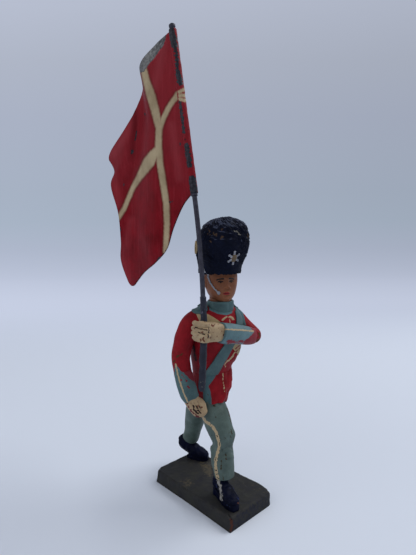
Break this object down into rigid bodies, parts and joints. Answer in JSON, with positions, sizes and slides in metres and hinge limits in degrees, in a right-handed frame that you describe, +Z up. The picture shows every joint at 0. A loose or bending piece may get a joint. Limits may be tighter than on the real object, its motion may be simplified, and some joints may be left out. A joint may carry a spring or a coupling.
{
  "type": "toy soldier figure",
  "caption": "Marching guardsman figure on a slab base, one hand holding a moulded staff with a plug-in wire that carries a stamped tinplate flag.",
  "frame": {"origin": "centre of the base's underside", "axes": "+Z up; the figure marches and faces towards -Y; its right hand, with the staff, is at -X"},
  "size_m": [0.0269, 0.0598, 0.1448],
  "materials": {
    "base_paint": "painted composition, worn grey-brown",
    "shoe_paint": "painted composition, dark blue-black",
    "trouser_paint": "painted composition, grey-green, satin",
    "tunic_paint": "painted composition, red, satin",
    "facing_paint": "painted composition, blue-green, satin",
    "whitened_paint": "painted composition, aged cream",
    "skin_paint": "painted composition, tan, satin",
    "silver_paint": "aluminium-coloured paint on composition",
    "fur_paint": "painted composition, blue-black over brown",
    "glove_paint": "painted composition, worn cream",
    "staff_paint": "painted composition, dark blue-grey",
    "staff_wire_paint": "painted steel wire",
    "core_wire": "bare drawn steel wire",
    "flag_tin": "enamel on tinplate, chipped"
  },
  "bodies": {
    "figure": {"base": "base_paint", "right_shoe": "shoe_paint", "left_shoe": "shoe_paint", "right_trouser_leg": "trouser_paint", "left_trouser_leg": "trouser_paint", "tunic_skirt": "tunic_paint", "tunic": "tunic_paint", "collar": "facing_paint", "head": "skin_paint", "chin_strap": "silver_paint", "bearskin": "fur_paint", "star_badge": "silver_paint", "side_ring": "whitened_paint", "right_sleeve": "tunic_paint", "right_cuff": "facing_paint", "right_glove": "glove_paint", "left_sleeve": "tunic_paint", "left_cuff": "facing_paint", "left_fist": "glove_paint", "left_fingers": "glove_paint", "shoulder_straps": "facing_paint", "crossbelt": "whitened_paint", "flag_bandolier": "facing_paint", "lower_staff": "staff_paint", "right_leg_wire": "core_wire", "left_leg_wire": "core_wire", "neck_wire": "core_wire", "right_arm_wire": "core_wire", "left_arm_wire": "core_wire"},
    "staff": {"staff_wire": "staff_wire_paint", "staff_knob": "staff_wire_paint"},
    "flag": {"flag_sleeve": "flag_tin", "flag_sheet": "flag_tin"}
  },
  "joints": [
    {"name": "staff_lift", "type": "slide", "parent": "figure", "child": "staff", "axis": [0, 0.0436, 0.999], "range_m": [0, 0.008]},
    {"name": "flag_swivel", "type": "hinge", "parent": "staff", "child": "flag", "pos_m": [-0.0106, -0.00503, 0.09593], "axis": [0, 0.1822, 0.9833], "range_deg": [-30, 120]}
  ]
}
